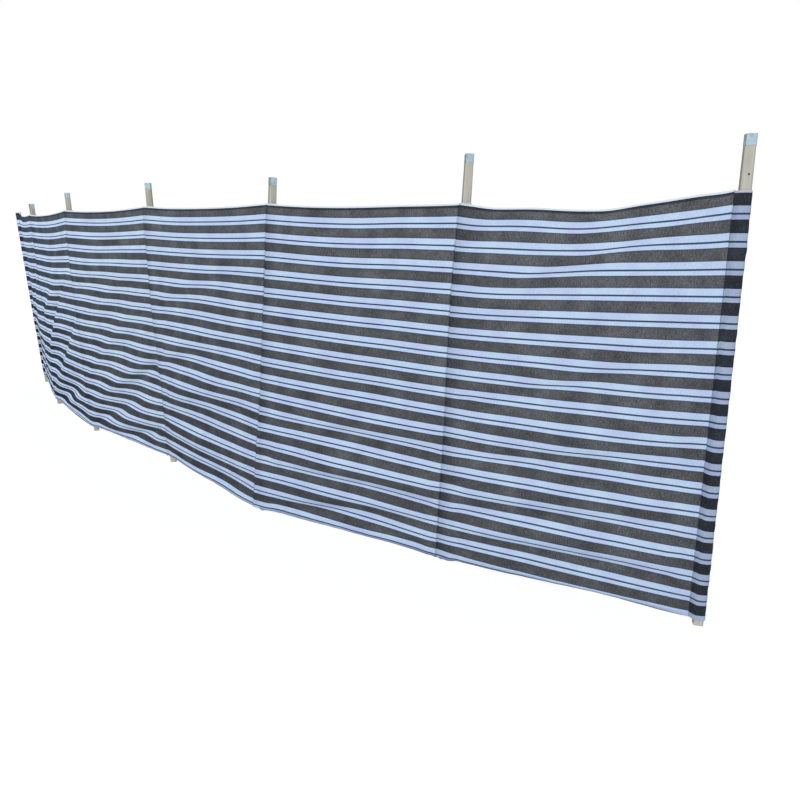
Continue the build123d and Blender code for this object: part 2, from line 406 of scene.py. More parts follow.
# Where folds start beside an inner seam and beside the row's end, and over what run they grow.
FOLDS_FROM_LEFT, FOLDS_GROW_LEFT = (40 * MM, -24 * MM), 73 * MM
FOLDS_FROM_RIGHT, FOLDS_GROW_RIGHT = (0, 20 * MM), 58 * MM


def clear_of_poles(bay, share):
    """1 in the open cloth, easing to 0 over the pocket at its left and by its right seam."""
    from_left = share * bay_length - FOLDS_FROM_LEFT[bay == 0]
    from_right = (1 - share) * bay_length - FOLDS_FROM_RIGHT[bay == BAYS - 1]
    return ease(from_left / FOLDS_GROW_LEFT) * ease(from_right / FOLDS_GROW_RIGHT)


def hang(bay, share, up):
    """How far the cloth hangs below straight lines, in metres: the seams' own hang shared
    between them, a parabola over the bay, and each fold's drag. The hem is stiff, so the cloth
    below the last dark band hangs as that band's edge does."""
    up = np.maximum(up, 1 - LAST_BAND / CLOTH_HEIGHT)
    left, right, middle = HANG[bay]
    total = smooth_through(left, up) * (1 - share) + smooth_through(right, up) * share
    total = total + smooth_through(middle, up) * 4 * share * (1 - share)
    for fold in FOLDS[bay]:
        total = total + fold_shape(fold, share, up) * fold[DRAG]
    clear = clear_of_poles(bay, share)
    for crease in CREASES[bay]:
        total = total + fold_shape(crease, share, up) * crease[DRAG] * clear
    return total * MM


def seam_stray(pole, up):
    """How far a pole's seam strays to the left, in metres."""
    return smooth_through(SEAM_STRAY[pole], up) * MM


def end_tip(pole, up):
    """From an end pole's axis to its sleeve's seam, narrower at the top."""
    low, high = END_SLEEVES[pole]
    return low + (high - low) * up


def bay_edges(bay, up):
    """Where a bay's cloth starts and ends at its seams, as shares of the bay. In the end
    sleeves it runs on a little past the seam."""
    if bay > 0:
        start = -seam_stray(bay, up)
    else:
        start = end_tip(0, up) - END_SEAM - PAST_FIRST_SEAM
    if bay < BAYS - 1:
        stop = seam_stray(bay + 1, up)
    else:
        stop = end_tip(POLES - 1, up) - END_SEAM - PAST_LAST_SEAM
    return start / bay_length, 1 - stop / bay_length


# Unevenness everywhere, puckers beside the seams and puckers under the hems: seed, height,
# how places along and down are scaled to draw it out, and shortest and longest waves in metres.
UNEVEN = [
    (10, 1.6 * MM, 1, 1, 0.12, 0.42),
    (30, 0.5 * MM, 0.35, 1, 0.03, 0.07),
    (50, 0.7 * MM, 1, 0.3, 0.05, 0.11),
]
SEAM_REACH, HEM_REACH, POCKET_EDGE = 45 * MM, 32 * MM, 60 * MM
TUCK_DEPTH, TUCK_WIDTH = 3.0 * MM, 2.6 * MM


def swell(bay, share, up):
    """How far the cloth stands out of the plane of its bay, in metres: its folds, a little
    unevenness, puckers beside the seams and under the hems, and a tuck into each inner seam.
    Folds die out over the pole's pocket."""
    start, stop = bay_edges(bay, up)
    from_left = (share - start) * bay_length
    from_right = (stop - share) * bay_length
    down = (1 - up) * CLOTH_HEIGHT
    beside = bell(from_right, SEAM_REACH) + bell(from_left - POCKET_EDGE, SEAM_REACH)
    under = bell(np.minimum(down, CLOTH_HEIGHT - down), HEM_REACH)
    total = 0
    for fold in FOLDS[bay] + CREASES[bay]:
        total = total + fold_shape(fold, share, up) * fold[SWELL] * MM
    for (seed, high, along_by, down_by, *waves), where in zip(UNEVEN, (1, beside, under)):
        uneven = ripple(seed + bay, from_left * along_by, down * down_by, *waves)
        total = total + high * where * uneven
    tuck = (bay > 0) * bell(from_left, TUCK_WIDTH) + (bay < BAYS - 1) * bell(from_right, TUCK_WIDTH)
    return total * clear_of_poles(bay, share) - TUCK_DEPTH * tuck


# Past an inner seam the curl starts at the pocket's edge; it grows and dies out over these runs.
CURL_FROM, CURL_GROWS, CURL_ENDS = 46 * MM, 44 * MM, 30 * MM
LEAST_TILT = 1e-4


def hem_tilt(bay, share):
    """How far a bay's hem tilts back, in radians: a smooth curve through its five angles, easing
    to 0 over the pole's pocket at its left and at an inner seam at its right."""
    free = ease((share * bay_length - (bay > 0) * CURL_FROM) / CURL_GROWS)
    if bay < BAYS - 1:
        free = free * ease((1 - share) * bay_length / CURL_ENDS)
    return np.radians(smooth_through(HEM_CURL[bay], share)) * free


def hem_curl(bay, share, up):
    """How the curled hem lies off the plane of its bay, as distances back and up: an arc down
    to the full tilt, then straight."""
    tilt = np.maximum(hem_tilt(bay, share), LEAST_TILT)
    past = np.clip((1 - up) * CLOTH_HEIGHT - LAST_BAND, 0, None)
    bend = np.minimum(past, HEM_BEND)
    turned = tilt * bend / HEM_BEND
    radius = HEM_BEND / tilt
    straight = past - bend
    back = radius * (1 - np.cos(turned)) + straight * np.sin(tilt)
    down = radius * np.sin(turned) + straight * np.cos(tilt)
    return back, past - down


def bay_face(bay, share, up):
    """The cloth's face in a bay. Straight lines run from seam to seam, level with the ground,
    except that the cloth stays flat past an inner pole's pocket; then the points hang and
    swell."""
    flat = FLAT_PAST_SEAM * (bay > 0)
    left = seam_line(bay, up, flat)
    flat, s = flat / bay_length, share[..., None]
    face = left + (seam_line(bay + 1, up) - left) * ((s - flat) / (1 - flat))
    if bay > 0:
        at_seam = seam_line(bay, up)
        face = np.where(s < flat, at_seam + (left - at_seam) * (s / flat), face)
        face = np.where(s < 0, at_seam + along[bay - 1] * (s * bay_length), face)
    back, raised = hem_curl(bay, share, up)
    face = face + UPRIGHT * (raised - hang(bay, share, up))[..., None]
    return face + front[bay] * (swell(bay, share, up) - back)[..., None]


# Where the top hem is doubled and painted in shade, below the pale rim: it starts and ends here,
# each over a run.
TOP_HEM_STARTS, TOP_HEM_ENDS = (5.5 * MM, 1 * MM), (16 * MM, 3 * MM)
BOTTOM_HEM_RUN = 2 * MM
HEM_SHADE_REACH = 1.2  # hem depths from the fold to where its extra painted shade ends


def bay_painted_shade(bay, share, up, cloth, start, stop):
    """How much painted shade a bay's cloth gets where it is doubled and no light comes through:
    in its hems, more or less along the bottom one's fold, over the pole's pocket, and in each
    seam, which is three thicknesses of cloth and the shadow of its tuck."""
    (low, low_run), (high, high_run) = TOP_HEM_STARTS, TOP_HEM_ENDS
    top_hem = ease((high - cloth) / high_run) * ease((cloth - low) / low_run)
    above_fold = bottom_fold(bay, share) - cloth
    bottom_hem = ease((HEM_DEPTH - above_fold) / BOTTOM_HEM_RUN)
    # Painted shade on the bottom hem, stronger or weaker along its fold.
    extra_shade = smooth_through(HEM_SHADE[bay], share) - 1
    at_fold = ease(HEM_SHADE_REACH - above_fold / HEM_DEPTH)
    bottom_hem = bottom_hem * (1 + np.where(extra_shade > 0, extra_shade * at_fold, extra_shade))
    past_seam = np.clip(1 - (share - start) * bay_length / SHADE_REACH, 0, 1)
    over_pole = POCKET_SHADE.get(bay, 0) * past_seam**SHADE_FADE
    painted_shade = np.maximum(np.maximum(top_hem, bottom_hem), over_pole)
    for seam, distance in ((bay, share - start), (bay + 1, stop - share)):
        in_tuck = bell(distance * bay_length, TUCK_SHADE_WIDTH)
        painted_shade = painted_shade + TUCK_SHADE * POCKET_SHADE.get(seam, 0) * in_tuck
    return painted_shade


def cloth_bay(bay):
    """One bay of cloth with its hems turned to the back, as a grid of rows down and columns
    along. The hem's turned cloth lies behind the face, and its folds beyond it, square to the curl."""
    columns = spaced(bay_length, BAY_COLUMNS, BAY_STEP) / bay_length
    down, beyond, behind, cloth = hem_rows(bottom_fold(bay, columns), BAY_ROWS, BAY_STEP)
    up = 1 - down / CLOTH_HEIGHT
    start, stop = bay_edges(bay, up)
    share = start + (stop - start) * columns
    points = bay_face(bay, share, up)
    tilt = (hem_tilt(bay, share) * (down > LAST_BAND + HEM_BEND))[..., None]
    points = points - (front[bay] * np.cos(tilt) - UPRIGHT * np.sin(tilt)) * behind[..., None]
    points = points + (UPRIGHT * np.cos(tilt) + front[bay] * np.sin(tilt)) * beyond[..., None]
    painted_shade = bay_painted_shade(bay, share, up, cloth, start, stop)
    along_cloth = (share + bay) * bay_length
    return cloth_sheet(f"cloth_bay_{bay + 1}", points, along_cloth, cloth, painted_shade)


# ---- pole pockets ----

CORNER_BLUR = 8  # degrees
BLUR_SAMPLES = np.linspace(-16, 16, 9)
SLOPE_STEP = math.radians(0.5)


def pocket_reach(pole, angle, tips):
    """How far a pocket's outline reaches in each direction: the farthest of the pole's corners,
    grown by the clearance, and of its seam's points, blurred over some 8 degrees so that the
    corners are round."""
    weight = bell(BLUR_SAMPLES, CORNER_BLUR * math.sqrt(2))
    weight = weight / weight.sum()
    direction = level_way(angle[..., None] + np.radians(BLUR_SAMPLES))[..., :2]
    reach = (direction @ corners[pole].T).max(-1) + SLEEVE_CLEAR
    for tip in tips:
        reach = np.maximum(reach, (direction * tip[..., None, :]).sum(-1))
    return (reach * weight).sum(-1)


def pocket_outline(pole, angle, tips):
    """Points of the outline, as distances along and to the front: the reach in a direction, and
    its rate of change at right angles to it."""
    reach = pocket_reach(pole, angle, tips)
    ahead = pocket_reach(pole, angle + SLOPE_STEP, tips)
    slope = (ahead - pocket_reach(pole, angle - SLOPE_STEP, tips)) / (2 * SLOPE_STEP)
    x = reach * np.cos(angle) - slope * np.sin(angle)
    y = reach * np.sin(angle) + slope * np.cos(angle)
    return np.stack([x, y], axis=-1)


TIP_LAYERS = (2.4 * MM, -0.6 * MM)  # an end seam's front and back cloth, from the pole's axis
TIP_TURN = 22  # degrees from an end seam's direction to where its sleeve starts


def pocket_seam(pole, up):
    """The points of a pocket's seam, as distances along and to the front, and the directions in
    which the cloth leaves the seam and comes back to it. An end pole's seam lies towards the
    bays, at an inner one the cloth goes all the way round."""
    if pole in END_POLES:
        towards, away = (0, 1) if pole == 0 else (180, -1)
        side, depths = away * end_tip(pole, up), TIP_LAYERS
        first = math.radians(towards + away * TIP_TURN)
        last = math.radians(towards + away * (360 - TIP_TURN))
    else:
        side, depths = -SEAM_TO_POLE - seam_stray(pole, up), pocket_front[pole : pole + 1]
        first = math.atan2(pocket_front[pole], -SEAM_TO_POLE)
        last = first + 2 * math.pi
    tips = [np.stack([side, 0 * side + depth], -1)[:, None, :] for depth in depths]
    return tips, first, last


TRACE_STEPS = 721
OFF_SEAM = 12 * MM  # wrinkles grow over this run from the seam
SLEEVE_EASE = 0.9 * MM  # the sleeve stands this far off its outline, and can lie on it
RAISE_RUN = 0.12  # share of the way round over which the last sleeve's stripes rise


def sleeve_wrinkle(pole, x, down):
    """Wrinkles of a sleeve: small ones, long ones round the pole, and slanting ones."""
    slant, across = (x + down) / math.sqrt(2), (down - x) / math.sqrt(2)
    wrinkle = 0
    for seed, high, first, second, shortest, longest in (
        (70, 0.4 * MM, x * 0.8, down, 0.02, 0.06),
        (90, 0.35 * MM, x * 0.4, down, 0.08, 0.2),
        (110, 0.5 * MM, slant, across * 0.15, 0.02, 0.045),
    ):
        wrinkle = wrinkle + high * ripple(seed + pole, first, second, shortest, longest)
    return wrinkle


def pole_sleeve(pole):
    """A pocket of cloth round a pole: the outline above, carried up the pole's axis, with its
    hems turned inwards. It starts and ends at the seam, and its stripes pass from one bay's
    height to the next bay's. Returns it, the length round it at mid height, and its seam's run:
    distance down the cloth, x, y and z."""
    last_pole = pole == POLES - 1
    bottom = np.full(SLEEVE_COLUMNS, LAST_SLEEVE_FOLD if last_pole else bottom_fold(pole, 0.0))
    down, beyond, behind, cloth = hem_rows(bottom, SLEEVE_ROWS, SLEEVE_STEP)
    up = 1 - down / CLOTH_HEIGHT
    half_way = len(down) // 2
    tips, first, last = pocket_seam(pole, up[:, 0])
    fine = np.linspace(first, last, TRACE_STEPS)
    trace = pocket_outline(pole, fine, [tip[half_way] for tip in tips])
    walked = walk(trace)
    angle = np.interp(np.linspace(0, walked[-1], SLEEVE_COLUMNS), walked, fine)
    angle = np.broadcast_to(angle, down.shape)
    outline = pocket_outline(pole, angle, tips)
    x = walk(outline)
    off_seam = ease(np.minimum(x, x[:, -1:] - x) / OFF_SEAM)
    wrinkle = np.clip(sleeve_wrinkle(pole, x, down) * off_seam, -SLEEVE_EASE, None)
    off_pole = wrinkle - behind + SLEEVE_EASE * off_seam
    outline = outline + level_way(angle)[..., :2] * off_pole[..., None]
    round_share = x / x[:, -1:]
    before = hang(max(pole - 1, 0), 0 * up + (pole > 0), up)
    after = hang(min(pole, BAYS - 1), 0 * up + last_pole, up)
    lowered = before + (after - before) * round_share
    if last_pole:
        past_seam = ease(np.minimum(round_share, 1 - round_share) / RAISE_RUN)
        lowered = lowered - smooth_through(LAST_SLEEVE_RAISE, up) * MM * past_seam
    points = pole_axis(pole, up) + outline[..., :1] * along[pole] + outline[..., 1:] * front[pole]
    points[..., 2] += beyond - lowered
    seam_run = np.concatenate([cloth[:, 1:2], points[:, 1]], axis=1)
    # Painted shade where the sleeve's cloth is doubled.
    painted_shade = smooth_through(END_SLEEVE_SHADE.get(pole, INNER_SLEEVE_SHADE), up)
    cloth_x = x + pole * bay_length
    if not last_pole:
        points, cloth_x, painted_shade = points[:, ::-1], cloth_x[:, ::-1], painted_shade[:, ::-1]
    piece = cloth_sheet(f"pole_sleeve_{pole + 1}", points, cloth_x, cloth, painted_shade)
    return piece, float(x[half_way, -1]), seam_run


# ---- stitching ----

STITCH = 3 * MM  # length of a stitch
STITCH_STEP = 4 * MM  # from one stitch to the next
STITCH_RADIUS = 0.38 * MM
STITCH_FROM_FOLD = 10 * MM  # from a hem's fold to its stitches
STITCH_FROM_SEAM = 3 * MM
STITCH_MARGIN = 8 * MM  # a row starts and ends this far from its cloth's edges
SPINDLE_RINGS, SPINDLE_SIDES = 5, 6
SPINDLE_END, SPINDLE_POWER = 0.12, 0.6


def stitch_line(name, starts, ends, outward):
    """A row of stitches as one mesh. Each is a spindle from its start to its end: six sides,
    five rings whose radius swells and closes as a half sine, standing half out of the cloth."""
    ring = np.linspace(0, 2 * math.pi, SPINDLE_SIDES, endpoint=False)
    half_turn = np.linspace(SPINDLE_END, math.pi - SPINDLE_END, SPINDLE_RINGS)
    radius = STITCH_RADIUS * np.sin(half_turn) ** SPINDLE_POWER
    share = np.linspace(0, 1, SPINDLE_RINGS)
    run = ends - starts
    sideways = unit(np.cross(run, outward))
    centre = starts[:, None] + run[:, None] * share[:, None]
    spoke = np.cos(ring)[:, None] * sideways[:, None, None] + np.sin(ring)[:, None] * outward
    points = centre[:, :, None] + spoke * radius[:, None, None]
    shape = (len(starts), SPINDLE_RINGS, SPINDLE_SIDES)
    number = np.arange(math.prod(shape)).reshape(shape)
    nxt = np.roll(number, -1, axis=2)
    around = [number[:, :-1], nxt[:, :-1], nxt[:, 1:], number[:, 1:]]
    sides = np.stack(around, axis=-1).reshape(-1, 4)
    caps = np.concatenate([number[:, 0, ::-1], number[:, -1]])
    mesh = bpy.data.meshes.new(name)
    mesh.from_pydata(points.reshape(-1, 3), [], sides.tolist() + caps.tolist())
    mesh.update()
    return show(name, mesh)


def hem_stitches(bay):
    """Stitches along both hems of a bay, from seam to seam."""
    starts, ends = [], []
    x = np.arange(STITCH_MARGIN, bay_length - STITCH_MARGIN, STITCH_STEP)
    low_row = bottom_fold(bay, x / bay_length) - STITCH_FROM_FOLD
    for down in (STITCH_FROM_FOLD + 0 * x, low_row):
        up = 1 - down / CLOTH_HEIGHT
        first, last = bay_edges(bay, up)
        share = first + (last - first) * x / bay_length
        starts.append(bay_face(bay, share, up))
        ends.append(bay_face(bay, share + STITCH / bay_length, up))
    rows = np.concatenate(starts), np.concatenate(ends)
    return stitch_line(f"hem_stitches_{bay + 1}", *rows, front[bay])


def seam_stitches(pole, seam_run):
    """Stitches down a pole's seam: left of an inner one, and in front of the tip of an end
    sleeve, along its seam's run of distance down the cloth, x, y and z."""
    lowest = bottom_fold(pole, 0.0) if pole < POLES - 1 else LAST_SLEEVE_FOLD
    down = np.arange(STITCH_MARGIN, lowest - STITCH_MARGIN, STITCH_STEP)
    both_ends = []
    for y in (down, down + STITCH):
        up = 1 - y / CLOTH_HEIGHT
        if pole in END_POLES:
            at, *axes = seam_run.T
            place = np.stack([np.interp(y, at, axis) for axis in axes], axis=-1)
        else:
            share = bay_edges(pole - 1, up)[1] - STITCH_FROM_SEAM / bay_length
            place = bay_face(pole - 1, share, up)
        both_ends.append(place)
    return stitch_line(f"seam_stitches_{pole + 1}", *both_ends, front[pole])


# ---- materials ----


def linear(hex_colour):
    """An sRGB hex colour as linear red, green, blue and alpha."""
    parts = [int(hex_colour[i : i + 2], 16) / 255 for i in (1, 3, 5)]
    return tuple(c / 12.92 if c <= 0.04045 else ((c + 0.055) / 1.055) ** 2.4 for c in parts) + (1.0,)


def add(tree, kind, inputs=None, stops=None, **settings):
    """Adds a node: sets its settings, links or sets its inputs by name or number, and sets a
    ramp's stops of place and colour. A colour may be given as sRGB hex."""
    made = tree.nodes.new("ShaderNode" + kind)
    for name, value in settings.items():
        setattr(made, name, value)
    for key, value in (inputs or {}).items():
        if isinstance(value, bpy.types.NodeSocket):
            tree.links.new(value, made.inputs[key])
        else:
            made.inputs[key].default_value = linear(value) if isinstance(value, str) else value
    if stops:
        elements = made.color_ramp.elements
        while len(elements) < len(stops):
            elements.new(1.0)
        for element, (place, colour) in zip(elements, stops):
            element.position = place
            element.color = linear(colour) if isinstance(colour, str) else (*colour, 1)
    return made


def start(kind, name):
    """A new material or world, and its node tree, which is empty."""
    owner = kind.new(name)
    owner.use_nodes = True
    owner.node_tree.nodes.clear()
    return owner, owner.node_tree


# The weaving plan over one repeat, in millimetres down from the top of a dark band: red is the
# dark band, green the thin line, blue the band's navy border.
WEAVE = [
    (0, (1, 0, 1)), (1.6, (1, 0, 0.8)), (6.5, (1, 0, 0)), (30.5, (1, 0, 0)), (36.0, (1, 0, 0.8)),
    (37.7, (1, 0, 1)), (38.3, (0, 0, 0)), (58.3, (0, 0, 0)), (59.2, (0, 1, 0)), (64.0, (0, 1, 0)),
    (64.9, (0, 0, 0)), (77.4, (0, 0, 0)), (77.79, (0.6, 0, 0.6)),
]
BORDER_SHARE = 0.6  # of the border's yarn that is navy
# Painted shade, bay by bay: the dark yarn's level at the top edge, the share of it lost at the
# bottom edge, its tint, the share of the pale yarn's lost at the bottom edge, and the navy
# yarn's colour. The dark yarn is painted darker and bluer in the left-hand bays.
YARN_SHADE_BY_BAY = [
    (0.48, 0.88, (0.71, 1.0, 1.42), 0.15, "#145096"),
    (0.75, 0.80, (0.82, 1.0, 1.18), 0.07, "#134a84"),
    (0.925, 0.456, (0.94, 1.0, 1.03), 0.06, "#164876"),
    (0.94, 0.515, (0.97, 1.0, 1.05), 0.06, "#204872"),
    (0.916, 0.26, (0.985, 1.0, 1.03), 0.06, "#284265"),
    (0.97, 0.217, (0.97, 1.0, 1.05), 0.06, "#3a4d6a"),
]
HEATHER = [(0.34, "#3b3b3c"), (0.5, "#595a5d"), (0.66, "#7c7d82")]
PALE_YARN = [(0.36, "#b2c4e4"), (0.5, "#bdd0ee"), (0.64, "#c8dbf5")]
# The heather's weft is of mixed yarns, so its hue drifts from rust to moss to slate.
HUES = [(0.36, (1.05, 0.99, 0.95)), (0.46, (1.01, 1.0, 0.96)), (0.54, (0.98, 1.01, 0.96)),
        (0.64, (0.97, 1.0, 1.03))]
# The pale yarn has washed out unevenly in patches, and is painted lighter in the left-hand bays.
WASHED = [(0.4, (1.0, 0.975, 1.01)), (0.6, (0.985, 1.02, 1.0))]
PALE_LIGHT_ALONG = [(0.0, (1.19, 1.16, 1.08)), (0.4, (1.10, 1.08, 1.02)), (0.7, (1, 1, 1))]
# Painted shade: what is left of the pale and the dark colours where the cloth is doubled and no
# light comes through it.
PALE_KEPT, DARK_KEPT = (0.72, 0.705, 0.725, 1), (0.35, 0.38, 0.44, 1)
RIM_HIGHLIGHT, RIM_SHOWS = "#dbe4ea", RIM - 1.2 * MM
RIB_SCALE = (250, 60, 1)  # ribs are single yarns 0.7 mm apart, drawn 4 mm apart so that they show
# The cloth's noises: blotches to the metre, detail and roughness.
RIBS, FLECKS, PATCHES, DRIFT = (1.0, 2.0, 0.5), (230.0, 3.0, 0.7), (9.0, 3.0, 0.6), (38.0, 3.0, 0.7)


def by_bay(colours):
    """A ramp's stops along the cloth: one colour for each bay, at its middle."""
    return [((n + 0.5) / BAYS, colour) for n, colour in enumerate(colours)]


def woven_stripe_cotton():
    """Yarn-dyed cotton, plain woven in bands: a dark heather band whose brown-grey yarn shows as
    fine upright ribs and flecks, navy yarn at its borders and in the thin line, and pale
    blue-white between. Dry and matt. Where the cloth is doubled no light comes through it, so
    it is darker."""
    material, tree = start(bpy.data.materials, "woven_stripe_cotton")
    cloth = add(tree, "UVMap", uv_map="cloth").outputs[0]
    cloth_x, cloth_down, _ = add(tree, "SeparateXYZ", {0: cloth}).outputs
    from_rim = add(tree, "Math", {0: cloth_down, 1: RIM}, operation="SUBTRACT").outputs[0]
    repeats = add(tree, "Math", {0: from_rim, 1: REPEAT}, operation="DIVIDE").outputs[0]
    share = add(tree, "Math", {0: repeats}, operation="FRACT").outputs[0]
    plan = [(place * MM / REPEAT, yarn) for place, yarn in WEAVE]
    plan = add(tree, "ValToRGB", {0: share}, plan).outputs[0]
    in_band, in_line, in_border = add(tree, "SeparateColor", {0: plan}).outputs

    rib_map = add(tree, "Mapping", {"Vector": cloth, "Scale": RIB_SCALE}).outputs[0]
    noises = []
    for place, noise in ((rib_map, RIBS), (cloth, FLECKS), (cloth, PATCHES), (cloth, DRIFT)):
        inputs = dict(zip(("Vector", "Scale", "Detail", "Roughness"), (place, *noise)))
        noises.append(add(tree, "TexNoise", inputs, noise_dimensions="2D").outputs[0])
    ribs, flecks, patches, drift = noises
    tone = 0.0
    for noise, weight in ((ribs, 0.22), (flecks, 0.48), (patches, 0.30)):
        inputs = {0: noise, 1: weight, 2: tone}
        tone = add(tree, "Math", inputs, operation="MULTIPLY_ADD").outputs[0]
    dark = add(tree, "ValToRGB", {0: tone}, HEATHER).outputs[0]
    hue = add(tree, "ValToRGB", {0: drift}, HUES).outputs[0]
    dark = add(tree, "VectorMath", {0: dark, 1: hue}, operation="MULTIPLY").outputs[0]
    pale = add(tree, "ValToRGB", {0: tone}, PALE_YARN).outputs[0]
    wash = add(tree, "ValToRGB", {0: patches}, WASHED).outputs[0]
    pale = add(tree, "VectorMath", {0: pale, 1: wash}, operation="MULTIPLY").outputs[0]

    # Painted shade: the dark yarn is darker towards the bottom edge and in the left-hand bays,
    # and the pale yarn darker towards the bottom edge. Along the cloth, red is the dark yarn's
    # level at the top edge, green how much of that is lost lower down, and blue how much the pale
    # yarn loses there.
    levels, losses, tints, pale_losses, navies = zip(*YARN_SHADE_BY_BAY)
    length = bay_length * BAYS
    lengthwise = add(tree, "Math", {0: cloth_x, 1: length}, operation="DIVIDE").outputs[0]
    lower = add(tree, "Math", {0: cloth_down, 1: CLOTH_HEIGHT}, operation="DIVIDE").outputs[0]
    bay_shade = by_bay(zip(levels, losses, pale_losses))
    bay_shade = add(tree, "ValToRGB", {0: lengthwise}, bay_shade).outputs[0]
    level, loss, pale_loss = add(tree, "SeparateColor", {0: bay_shade}).outputs
    left = []
    for lost in (loss, pale_loss):
        lost = add(tree, "Math", {0: lower, 1: lost}, operation="MULTIPLY").outputs[0]
        left.append(add(tree, "Math", {0: 1.0, 1: lost}, operation="SUBTRACT").outputs[0])
    shaded_level = add(tree, "Math", {0: left[0], 1: level}, operation="MULTIPLY").outputs[0]
    dark = add(tree, "VectorMath", {0: dark, "Scale": shaded_level}, operation="SCALE").outputs[0]
    tint = add(tree, "ValToRGB", {0: lengthwise}, by_bay(tints)).outputs[0]
    dark = add(tree, "VectorMath", {0: dark, 1: tint}, operation="MULTIPLY").outputs[0]
    pale = add(tree, "VectorMath", {0: pale, "Scale": left[1]}, operation="SCALE").outputs[0]
    # Painted light: the pale yarn is lighter in the left-hand bays.
    pale_lift = add(tree, "ValToRGB", {0: lengthwise}, PALE_LIGHT_ALONG).outputs[0]
    pale = add(tree, "VectorMath", {0: pale, 1: pale_lift}, operation="MULTIPLY").outputs[0]
    colour = add(tree, "Mix", {0: in_band, 6: pale, 7: dark}, data_type="RGBA").outputs[2]
    inputs = {0: in_border, 1: BORDER_SHARE, 2: in_line}
    navy = add(tree, "Math", inputs, operation="MULTIPLY_ADD", use_clamp=True).outputs[0]
    navy_yarn = add(tree, "ValToRGB", {0: lengthwise}, by_bay(navies)).outputs[0]
    colour = add(tree, "Mix", {0: navy, 6: colour, 7: navy_yarn}, data_type="RGBA").outputs[2]
    # Painted highlight: the rim, on the fold of the top hem, is paler and less blue.
    on_rim = add(tree, "Math", {0: cloth_down, 1: RIM_SHOWS}, operation="LESS_THAN").outputs[0]
    colour = add(tree, "Mix", {0: on_rim, 6: colour, 7: RIM_HIGHLIGHT}, data_type="RGBA").outputs[2]

    # Painted shade: darker where the cloth is doubled and no light comes through it.
    kept = add(tree, "Mix", {0: in_band, 6: PALE_KEPT, 7: DARK_KEPT}, data_type="RGBA").outputs[2]
    doubled = add(tree, "Attribute", attribute_name="painted_shade").outputs["Fac"]
    shaded = {"data_type": "RGBA", "blend_type": "MULTIPLY", "clamp_factor": False}
    colour = add(tree, "Mix", {0: doubled, 6: colour, 7: kept}, **shaded).outputs[2]
    rough = add(tree, "MapRange", {0: tone, 1: 0.35, 2: 0.65, 3: 0.95, 4: 0.82}).outputs[0]
    weave = add(tree, "Bump", {"Height": tone, "Strength": 0.3, "Distance": 0.6 * MM}).outputs[0]
    finish = {"Roughness": rough, "Normal": weave, "IOR": 1.45, "Specular IOR Level": 0.1}
    shader = add(tree, "BsdfPrincipled", {"Base Color": colour, **finish}).outputs[0]
    add(tree, "OutputMaterial", {"Surface": shader})
    return material


def polyester_thread():
    """Spun polyester sewing thread, charcoal: matt, with a faint twist that shows as slanting
    light and dark."""
    material, tree = start(bpy.data.materials, "polyester_thread")
    place = add(tree, "TexCoord").outputs["Object"]
    twist = add(tree, "TexNoise", {"Vector": place, "Scale": 900.0, "Detail": 1.0}).outputs[0]
    colour = add(tree, "ValToRGB", {0: twist}, [(0.35, "#39404a"), (0.65, "#59626e")]).outputs[0]
    shader = add(tree, "BsdfPrincipled", {"Base Color": colour, "Roughness": 0.7}).outputs[0]
    add(tree, "OutputMaterial", {"Surface": shader})
    return material


def in_sun(tree, shaded, sunny, direction, low, high):
    """Painted light and shade: the sunny colour where a surface looks in a direction and the
    shaded one where it looks away, changing between two values of the cosine."""
    looks = add(tree, "NewGeometry").outputs["True Normal"]
    turned = add(tree, "VectorMath", {0: looks, 1: tuple(direction)}, operation="DOT_PRODUCT")
    turned = turned.outputs["Value"]
    faces = add(tree, "MapRange", {0: turned, 1: low, 2: high, 3: 0.0, 4: 1.0}).outputs[0]
    return add(tree, "Mix", {0: faces, 6: shaded, 7: sunny}, data_type="RGBA").outputs[2]


WOOD = [(0.30, "#a3a197"), (0.45, "#b6b5aa"), (0.56, "#bebdb3"), (0.72, "#c9c9c0")]
WOOD_SHADE_KEPT = (0.56, 0.57, 0.53)  # painted shade: what is left of the wood's colour on its shaded faces
GRAIN_SCALE, WEAR_SCALE = (330, 330, 7), (40, 40, 9)
GRAIN_SHIFT = 3.7  # so that no two poles have the same grain
KNOT_COLOUR, KNOT_INNER, KNOT_OUTER = "#4a4a3c", 2.4 * MM, 4.2 * MM


